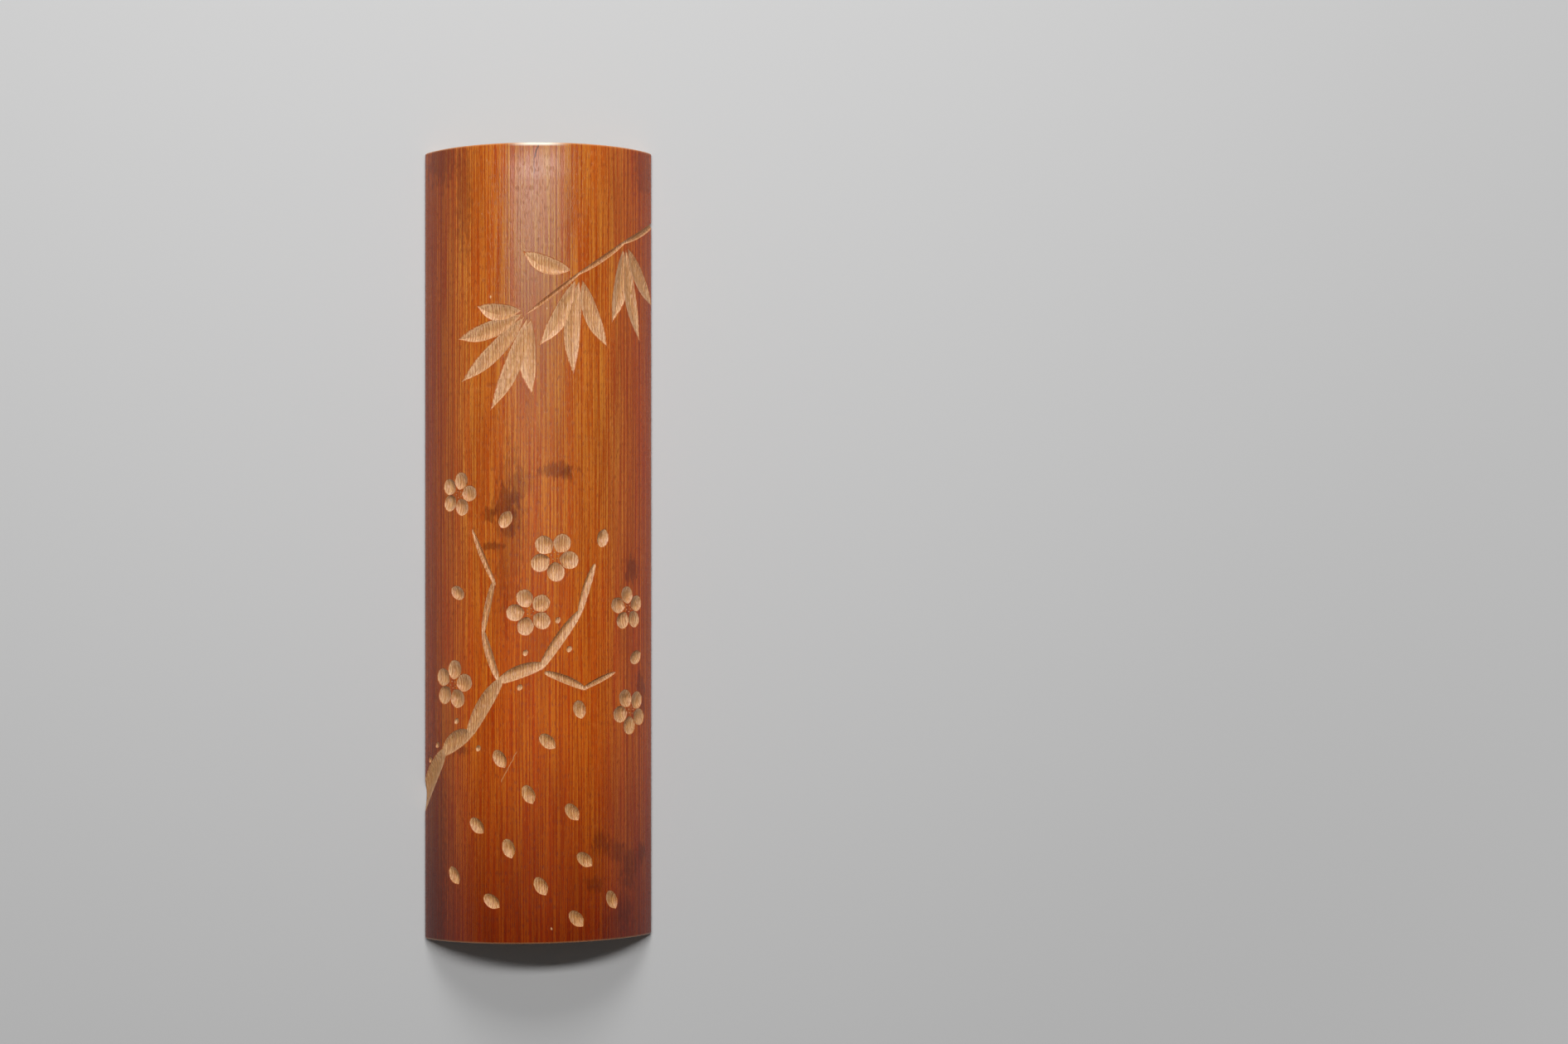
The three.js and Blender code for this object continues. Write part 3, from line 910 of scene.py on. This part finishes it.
def finish_sawn_end():
    tree, shader, spot = open_surface("sawn_end", roughness=0.5)
    dense = fade(tree, bundles(tree, spot, spacing=0.36, seed=5), 0.3, 0.46, at_low=1.0, at_high=0.0)
    sparse = fade(tree, bundles(tree, spot, spacing=0.72, seed=6), 0.26, 0.36, at_low=1.0, at_high=0.0)
    dots = blend(tree, fade(tree, spot["Depth"], 0.8, 2.4), dense, sparse)
    cloud = grain(tree, spot, across=2.5, along=3, seed=31, detail=3.0)
    inwards = fade(tree, spot["Depth"], 0.4, 4.4)
    colour = blend(tree, inwards, tone("a8622a"), tone("c08648"))
    colour = lay(tree, colour, cloud, 0.45, "8a4c1c")
    colour = lay(tree, colour, dots, 0.8, "5a2c10")
    colour = blend(tree, fade(tree, spot["Depth"], 0.5, 0.1), colour, tone("7c3a10"))
    tree.links.new(colour, shader.inputs["Base Color"])
    emboss(tree, shader, dots, depth=0.02 * mm)


def finish_planed_foot():
    tree, shader, spot = open_surface("planed_foot", roughness=0.5)
    streaks = fade(tree, grain(tree, spot, across=0.5, along=30, seed=41, detail=2.0), 0.35, 0.65)
    colour = blend(tree, streaks, tone("a8642a"), tone("8c4a18"))
    tree.links.new(colour, shader.inputs["Base Color"])
    emboss(tree, shader, streaks, depth=0.01 * mm)


finish_cut_fibre()
finish_sawn_end()
finish_planed_foot()
wall = take_layer("culm_flesh", culm_radius - rind_thickness, hollow_radius + lining_thickness)
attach(wall, "root")
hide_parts("culm_wall")


# The inner lining
# The smooth inner ring of the culm, on the hollow side where the leaves lie. It keeps its own pale honey
# colour and is only scraped clean, so faint scraper lines run along it.
def finish_scraped_hollow():
    tree, shader, spot = open_surface("scraped_hollow", roughness=0.5)
    streaks = fade(tree, grain(tree, spot, across=0.6, along=80, seed=51, detail=2.0), 0.35, 0.65)
    clouds = fade(tree, grain(tree, spot, across=8, along=30, seed=52, detail=2.0), 0.35, 0.7)
    colour = blend(tree, streaks, tone("d0a064"), tone("bc8648"))
    colour = lay(tree, colour, clouds, 0.4, "a4703a")
    tree.links.new(colour, shader.inputs["Base Color"])
    emboss(tree, shader, streaks, depth=0.015 * mm)


finish_scraped_hollow()
past_hollow = hollow_radius * 0.9
lining = take_layer("hollow_lining", hollow_radius + lining_thickness, past_hollow)
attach(lining, "root")
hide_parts("inner_lining")
bpy.data.objects.remove(carved_strip)


# The table, the lamps and the camera
# The scoop lies on a plain pale table. A long soft lamp hangs beyond its head end, so its crown shines
# there, and a lower one brings out the relief. Far out the table fades into a pale haze, and the room
# overhead is dark.
pale = (0.54, 0.54, 0.54, 1)
haze_start = 0.16
haze_end = 0.6
haze_strength = 1.12
room_light = 0.15
table_size = 8
bpy.ops.mesh.primitive_plane_add(size=table_size)
table = bpy.context.object
table.name = "table"
table_paper = bpy.data.materials.new("table_paper")
table_paper.use_nodes = True
table.data.materials.append(table_paper)


def seen(tree):
    """1 where a ray is seen, straight or in a gloss, and 0 where it only carries light."""
    rays = add(tree, "ShaderNodeLightPath").outputs
    mirrored = calc(tree, "MAXIMUM", rays["Is Glossy Ray"], rays["Is Transmission Ray"])
    return calc(tree, "MAXIMUM", rays["Is Camera Ray"], mirrored)


def finish_table(tree):
    """Matt paper that fades into the haze with the distance from the scoop."""
    paper = tree.nodes["Principled BSDF"]
    paper.inputs["Base Color"].default_value = pale
    paper.inputs["Roughness"].default_value = 0.9
    haze = add(tree, "ShaderNodeEmission", {"Color": pale, "Strength": haze_strength}).outputs[0]
    here = add(tree, "ShaderNodeTexCoord").outputs["Object"]
    away = add(tree, "ShaderNodeVectorMath", {0: here}, operation="LENGTH").outputs["Value"]
    share = calc(tree, "MULTIPLY", fade(tree, away, haze_start, haze_end), seen(tree))
    mixed = add(tree, "ShaderNodeMixShader", {0: share, 1: paper.outputs[0], 2: haze}).outputs[0]
    tree.links.new(mixed, tree.nodes["Material Output"].inputs["Surface"])


def finish_room(tree):
    """The room is pale low down, where it continues the haze, and dark overhead."""
    dark_above = 0.45
    pale_below = 0.3
    sky = tree.nodes["Background"]
    sky.inputs["Color"].default_value = pale
    way = add(tree, "ShaderNodeTexCoord").outputs["Generated"]
    up = add(tree, "ShaderNodeSeparateXYZ", {"Vector": way}).outputs["Z"]
    far_wall = fade(tree, up, dark_above, pale_below)
    glow = calc(tree, "MULTIPLY", calc(tree, "MULTIPLY", far_wall, seen(tree)), haze_strength)
    tree.links.new(calc(tree, "MAXIMUM", glow, room_light), sky.inputs["Strength"])


finish_table(table_paper.node_tree)
room = bpy.data.worlds.new("room")
room.use_nodes = True
finish_room(room.node_tree)
scene.world = room
scene.view_settings.view_transform = "Standard"


def hang_lamp(name, width, height, energy, lean, turn):
    """A soft lamp that points at the scoop, leaning from overhead to the head end and turned to the left."""
    distance = 0.9
    box = bpy.data.lights.new(name, "AREA")
    box.shape = "RECTANGLE"
    box.size = width
    box.size_y = height
    box.energy = energy
    lamp = place(name, box)
    lamp.rotation_euler = (-math.radians(lean), 0, math.radians(turn))
    lamp.location = lamp.rotation_euler.to_matrix() @ Vector((0, 0, distance))


hang_lamp("long_lamp", width=0.7, height=0.1, energy=5.4, lean=18.5, turn=4)
hang_lamp("low_lamp", width=0.35, height=0.35, energy=4.3, lean=52, turn=0)

# The camera looks straight down at the lower half, and its picture is shifted so that the scoop lies left of
# the middle.
photo_width = 1891
photo_height = 1259
axis_column = 649.1
axis_row = 749.7
film_width = 36
focal_pixels = 3600
camera_above_crown = 777 * mm
camera_towards_foot = 20.15 * mm
camera_data = bpy.data.cameras.new("camera")
camera_data.sensor_width = film_width
camera_data.lens = film_width * focal_pixels / photo_width
camera_data.shift_x = (photo_width / 2 - axis_column) / photo_width
camera_data.shift_y = (axis_row - photo_height / 2) / photo_width
camera = place("camera", camera_data)
camera.location = (0, -camera_towards_foot, rise + camera_above_crown)
scene.camera = camera
